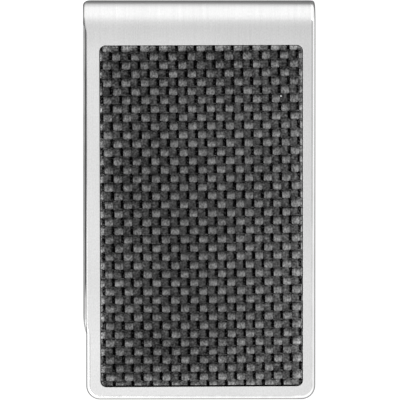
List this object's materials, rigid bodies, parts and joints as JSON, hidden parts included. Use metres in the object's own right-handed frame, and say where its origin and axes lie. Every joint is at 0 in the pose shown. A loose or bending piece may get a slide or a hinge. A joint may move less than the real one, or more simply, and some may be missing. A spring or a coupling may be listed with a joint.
{
  "type": "money clip",
  "caption": "Folded spring-steel money clip: brushed front leaf with an inset woven carbon panel, rolled fold, and a sloping rear leaf with a flared lip that grips folded notes.",
  "frame": {"origin": "centre of the bounding box's lower face, with the clip lying on its back", "axes": "+Z is the front leaf's outward normal, +Y points to the fold, and +X is to the right seen from the front"},
  "size_m": [0.0302, 0.052, 0.0056],
  "materials": {
    "steel": "satin",
    "adhesive": "matte",
    "carbon": "satin"
  },
  "bodies": {
    "rear_leaf": {"spring_arm": "steel", "spring_bend": "steel"},
    "front_leaf": {"front_plate": "steel", "inlay_adhesive": "adhesive", "carbon_inlay": "carbon"}
  },
  "joints": [
    {"name": "clip_open", "type": "hinge", "parent": "rear_leaf", "child": "front_leaf", "pos_m": [0, 0.0232, 0.0028], "axis": [-1, 0, 0], "range_deg": [0, 8], "stiffness_Nm_per_rad": 9, "deforming": ["spring_bend"]}
  ]
}
